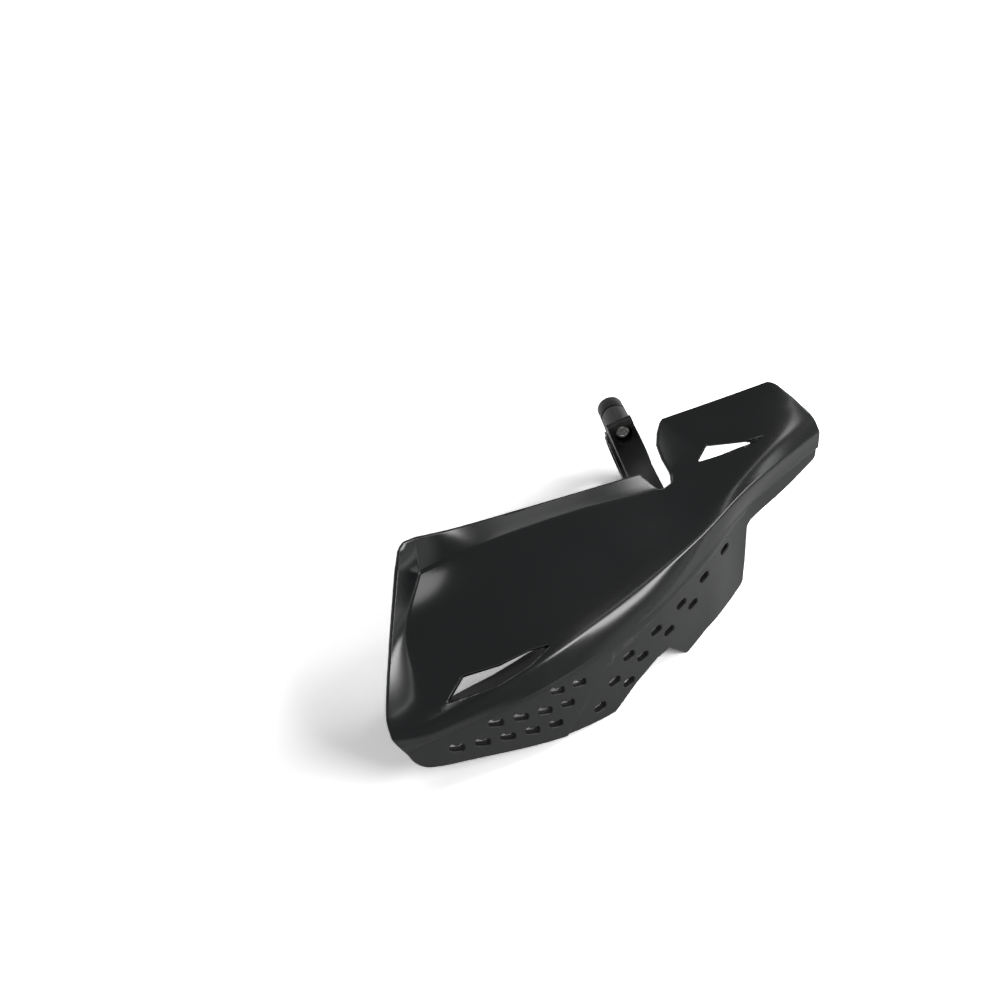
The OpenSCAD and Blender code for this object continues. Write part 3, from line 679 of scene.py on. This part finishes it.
eased("mount_arm", "clamp_arm", 0.9, NYLON)
eased("bar_sleeve", "split_sleeve", 0.3, SLEEVE)

# Screws: zinc-plated cap screws with a hexagon socket, a knurled head with a rounded rim and
# a rolled thread. One closes the clamp and two hold the foot from behind.
HEAD_D, HEAD_H, THREAD_D, SOCKET_AF = 8.6, 5.0, 5.0, 4.0
NUT_H, WASHER_T, FOOT_T, INSERT_L = 4.0, 1.0, 6.0, 7.0
PINCH_Z, NEAR_Y, NUT_Y = 29.0, -19.0, 3.4   # pinch bolt in the clamp's frame
THREAD_PITCH, THREAD_RIDGE = 0.8, 0.2
KNURLS, KNURL_R = 36, 0.22
SHARP_DEG = 35


def metal(name, colour, roughness, mottle_mm):
    """A plated or turned metal, its gloss slightly uneven, in spots drawn large enough to show."""
    mat = bpy.data.materials.new(name)
    mat.use_nodes = True
    tree = mat.node_tree
    shader = tree.nodes["Principled BSDF"]
    shader.inputs["Base Color"].default_value = srgb(colour)
    shader.inputs["Metallic"].default_value = 1.0
    place = add_node(tree, "ShaderNodeTexCoord").outputs["Object"]
    mottle = add_node(tree, "ShaderNodeTexNoise", {"Vector": place},
                      values={"Scale": 1 / (mottle_mm * MM), "Detail": 4})
    gloss = add_node(tree, "ShaderNodeMapRange", {"Value": mottle.outputs["Fac"]},
                     values={"From Min": 0.0, "From Max": 1.0, "To Min": roughness * 0.4,
                             "To Max": roughness * 1.6})
    tree.links.new(gloss.outputs["Result"], shader.inputs["Roughness"])
    return mat


# Zinc plate is pale and scatters light a little, and turned brass is warmer and shinier
ZINC = metal("zinc_plated_steel", "d6d7d3", 0.38, 0.8)
BRASS = metal("turned_brass", "d0b070", 0.28, 0.6)


def hexagon(flats):
    """The radius of a hexagon at each angle, from its width across the flats."""
    return lambda a: flats / 2 / np.cos((a + math.pi / 6) % (math.pi / 3) - math.pi / 6)


def screw_tree():
    """Adds what repeats on a turned blank: the knurls round its head and its rolled thread."""
    tree = bpy.data.node_groups.new("knurl_and_thread", "GeometryNodeTree")
    face = tree.interface
    face.new_socket("Blank", in_out="INPUT", socket_type="NodeSocketGeometry")
    for label, value in (("Head radius", HEAD_D / 2 * MM), ("Head height", HEAD_H * MM),
                         ("Thread radius", THREAD_D / 2 * MM), ("Thread length", 0.02),
                         ("Turns", 20.0)):
        face.new_socket(label, in_out="INPUT", socket_type="NodeSocketFloat").default_value = value
    face.new_socket("Knurls", in_out="INPUT", socket_type="NodeSocketInt").default_value = KNURLS
    face.new_socket("Metal", in_out="INPUT", socket_type="NodeSocketMaterial")
    face.new_socket("Screw", in_out="OUTPUT", socket_type="NodeSocketGeometry")
    given = add_node(tree, "NodeGroupInput").outputs
    circle = add_node(tree, "GeometryNodeMeshCircle", {"Vertices": given["Knurls"],
                                                       "Radius": given["Head radius"]})
    lift = add_node(tree, "ShaderNodeMath", {0: given["Head height"]}, {"operation": "MULTIPLY"},
                    {1: 0.56})
    ridge = add_node(tree, "GeometryNodeMeshCylinder", {"Depth": lift.outputs[0]},
                     values={"Vertices": 6, "Radius": KNURL_R * MM})
    raise_to = add_node(tree, "ShaderNodeMath", {0: given["Head height"]}, {"operation": "MULTIPLY"},
                        {1: 0.6})
    up = add_node(tree, "ShaderNodeCombineXYZ", {"Z": raise_to.outputs[0]})
    ring = add_node(tree, "GeometryNodeSetPosition", {"Geometry": circle.outputs["Mesh"],
                                                      "Offset": up.outputs[0]})
    knurls = add_node(tree, "GeometryNodeInstanceOnPoints",
                      {"Points": ring.outputs[0], "Instance": ridge.outputs["Mesh"]})
    helix = add_node(tree, "GeometryNodeCurveSpiral",
                     {"Rotations": given["Turns"], "Start Radius": given["Thread radius"],
                      "End Radius": given["Thread radius"], "Height": given["Thread length"]},
                     values={"Resolution": 20})
    crest = add_node(tree, "GeometryNodeCurvePrimitiveCircle", values={"Resolution": 3,
                                                                      "Radius": THREAD_RIDGE * MM})
    thread = add_node(tree, "GeometryNodeCurveToMesh",
                      {"Curve": helix.outputs[0], "Profile Curve": crest.outputs[0]},
                      values={"Fill Caps": True})
    at_shank = add_node(tree, "ShaderNodeCombineXYZ", {"Z": given["Head height"]})
    rolled = add_node(tree, "GeometryNodeSetPosition", {"Geometry": thread.outputs[0],
                                                        "Offset": at_shank.outputs[0]})
    joined = add_node(tree, "GeometryNodeJoinGeometry")
    for part in (rolled.outputs[0], knurls.outputs[0], given["Blank"]):
        tree.links.new(part, joined.inputs[0])
    real = add_node(tree, "GeometryNodeRealizeInstances", {"Geometry": joined.outputs[0]})
    dressed = add_node(tree, "GeometryNodeSetMaterial", {"Geometry": real.outputs[0],
                                                         "Material": given["Metal"]})
    add_node(tree, "NodeGroupOutput", {"Screw": dressed.outputs[0]})
    return tree


def socket_id(tree, label):
    """The identifier of a tree's input, from its name."""
    return next(i.identifier for i in tree.interface.items_tree
                if i.item_type == "SOCKET" and i.in_out == "INPUT" and i.name == label)


SCREW_TREE = screw_tree()


def cap_screw(name, node, length, origin, axes):
    """A cap screw from the face of its head at the origin, along the local Z axis."""
    r, socket = HEAD_D / 2 - 0.12, hexagon(SOCKET_AF)
    rows = [(socket, HEAD_H * 0.5), (socket, 0.25), (lambda a: socket(a) + 0.25, 0.0),
            (r - 1.25, 0.0), (r - 0.85, 0.06), (r - 0.45, 0.25), (r - 0.15, 0.55), (r, 1.0),
            (r, HEAD_H - 0.3), (r - 0.3, HEAD_H), (THREAD_D / 2 + 0.2, HEAD_H),
            (THREAD_D / 2 - 0.1, HEAD_H + 0.2), (THREAD_D / 2 - 0.1, HEAD_H + length - 0.6),
            (THREAD_D / 2 - 0.6, HEAD_H + length)]
    points, faces = turned(rows)
    blank = mesh_object(name, points * MM, faces[:-SEGMENTS])
    work = bmesh.new()
    work.from_mesh(blank.data)
    bmesh.ops.holes_fill(work, edges=[e for e in work.edges if e.is_boundary], sides=0)
    bmesh.ops.recalc_face_normals(work, faces=work.faces)
    work.to_mesh(blank.data)
    work.free()
    blank.data.set_sharp_from_angle(angle=math.radians(SHARP_DEG))
    modifier = blank.modifiers.new("details", "NODES")
    modifier.node_group = SCREW_TREE
    modifier[socket_id(SCREW_TREE, "Thread length")] = (length - 0.7) * MM
    modifier[socket_id(SCREW_TREE, "Turns")] = length / THREAD_PITCH
    modifier[socket_id(SCREW_TREE, "Metal")] = ZINC
    plain = bpy.data.meshes.new_from_object(
        blank.evaluated_get(bpy.context.evaluated_depsgraph_get()))
    blank.modifiers.clear()
    blank.data = plain
    co = np.empty(len(plain.vertices) * 3)
    plain.vertices.foreach_get("co", co)
    co = to_row(placed(co.reshape(-1, 3) / MM, origin, axes))
    plain.vertices.foreach_set("co", co.ravel())
    plain.update()
    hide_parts(node)
    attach(blank, "root")


pinch_axes = np.array([CLAMP[:, 0], -CLAMP[:, 2], CLAMP[:, 1]])
pinch_at = BAR_AT + CLAMP @ [0, NEAR_Y, PINCH_Z]
cap_screw("clamp_screw", "pinch_bolt", NUT_Y + NUT_H - NEAR_Y - HEAD_H, pinch_at, pinch_axes)
for number, side in ((1, -1), (2, 1)):
    at = placed([side * SCREW_PITCH / 2, 0, -WALL - BOSS_H - FOOT_T - WASHER_T - HEAD_H],
                foot_points[0], FOOT_AXES)
    cap_screw(f"foot_screw_{number}", f"shield_screw_{number}",
              WASHER_T + FOOT_T + INSERT_L - 0.3, at, FOOT_AXES)

# Washers and nut of the same plated steel, and brass inserts, keep the CAD's shape
for name, mat in (("pinch_washer", ZINC), ("pinch_nut", ZINC), ("shield_washer_1", ZINC),
                  ("shield_washer_2", ZINC), ("shield_insert_1", BRASS),
                  ("shield_insert_2", BRASS)):
    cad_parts[name].data.materials.clear()
    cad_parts[name].data.materials.append(mat)

# Studio: a pale floor under the guard, the camera where the photo was taken from, and soft
# boxes that give the long soft reflections on the black plastic.
EYE = (-382.6, -486.1, 592.4)
LOOK = Vector((0.4596, 0.5839, -0.6691))
FOCAL_PX, FRAME_PX, SENSOR_MM = 1500, 1000, 36
CLIP_M = 50


def aimed(look, up=(0, 0, 1)):
    """A turn whose -Z looks along a direction of the guard's frame, in the row's frame."""
    z = -Vector(look).normalized()
    x = Vector(up).cross(z).normalized()
    local = Matrix((x, z.cross(x), z)).transposed()
    return row_turn() @ local


camera = bpy.data.objects.new("camera", bpy.data.cameras.new("camera"))
scene.collection.objects.link(camera)
camera.data.sensor_width = SENSOR_MM
camera.data.lens = SENSOR_MM * FOCAL_PX / FRAME_PX
camera.data.clip_end = CLIP_M
camera.matrix_world = Matrix.Translation(Vector(to_row([EYE])[0])) @ aimed(LOOK).to_4x4()
scene.camera = camera

SHEEN = 0.3   # part of the white backdrop that gloss and metal show


def shown(tree):
    """1 for the camera's rays, and SHEEN for the rays that gloss, metal and glass send out."""
    rays = add_node(tree, "ShaderNodeLightPath")
    mirror = add_node(tree, "ShaderNodeMath", {0: rays.outputs["Is Glossy Ray"],
                                               1: rays.outputs["Is Transmission Ray"]},
                      {"operation": "MAXIMUM"})
    part = add_node(tree, "ShaderNodeMath", {0: mirror.outputs[0]}, {"operation": "MULTIPLY"},
                    {1: SHEEN})
    return add_node(tree, "ShaderNodeMath", {0: rays.outputs["Is Camera Ray"], 1: part.outputs[0]},
                    {"operation": "MAXIMUM"}).outputs[0]


FLOOR_M = 6   # half of the floor's width
floor_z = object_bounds()[0][2]
corners = [(x * FLOOR_M, y * FLOOR_M, floor_z) for x, y in ((-1, -1), (1, -1), (1, 1), (-1, 1))]
floor = mesh_object("floor", corners, [(0, 1, 2, 3)], False)
# White paper has no gloss. It is shown lighter to the camera than it lights the guard.
paper = bpy.data.materials.new("white_paper")
paper.use_nodes = True
tree = paper.node_tree
tree.nodes.clear()
tone = add_node(tree, "ShaderNodeMapRange", {"Value": shown(tree)},
                values={"To Min": 0.85, "To Max": 2.1})
diffuse = add_node(tree, "ShaderNodeBsdfDiffuse", {"Color": tone.outputs["Result"]})
add_node(tree, "ShaderNodeOutputMaterial", {"Surface": diffuse.outputs[0]})
floor.data.materials.append(paper)


def soft_box(name, toward, distance, width, height, strength):
    """An area lamp that shines on the guard from a direction of its own frame."""
    lamp = bpy.data.lights.new(name, "AREA")
    lamp.shape, lamp.size, lamp.size_y = "RECTANGLE", width, height
    lamp.energy = strength * width * height
    obj = bpy.data.objects.new(name, lamp)
    scene.collection.objects.link(obj)
    toward = Vector(toward).normalized()
    obj.matrix_world = Matrix.Translation(row_turn() @ (toward * distance)) @ aimed(-toward).to_4x4()


soft_box("box_front", (0.26, -0.76, 0.6), 1.5, 0.9, 0.3, 40)
soft_box("strip_above", (0.3, -0.47, 0.83), 1.5, 1.0, 0.06, 14)
soft_box("box_right", (0.74, -0.2, 0.64), 1.6, 0.7, 0.7, 24)
soft_box("box_over", (-0.15, 0.42, 0.9), 1.7, 0.5, 0.5, 14)

# The room is white near the horizon and dark overhead, so the upper face stays black
world = bpy.data.worlds.new("studio")
scene.world = world
world.use_nodes = True
tree = world.node_tree
tree.nodes.clear()
direction = add_node(tree, "ShaderNodeTexCoord")
height = add_node(tree, "ShaderNodeSeparateXYZ", {0: direction.outputs["Generated"]})
backdrop = add_node(tree, "ShaderNodeMapRange", {"Value": height.outputs["Z"]},
                    {"interpolation_type": "SMOOTHSTEP"},
                    {"From Min": 0.1, "From Max": 0.45, "To Min": 1.0, "To Max": 0.13})
bright = add_node(tree, "ShaderNodeMath", {0: backdrop.outputs["Result"], 1: shown(tree)},
                  {"operation": "MAXIMUM"})
room = add_node(tree, "ShaderNodeBackground", {"Strength": bright.outputs[0]},
                values={"Color": srgb("ffffff")})
add_node(tree, "ShaderNodeOutputWorld", {"Surface": room.outputs[0]})
scene.view_settings.view_transform = "Standard"
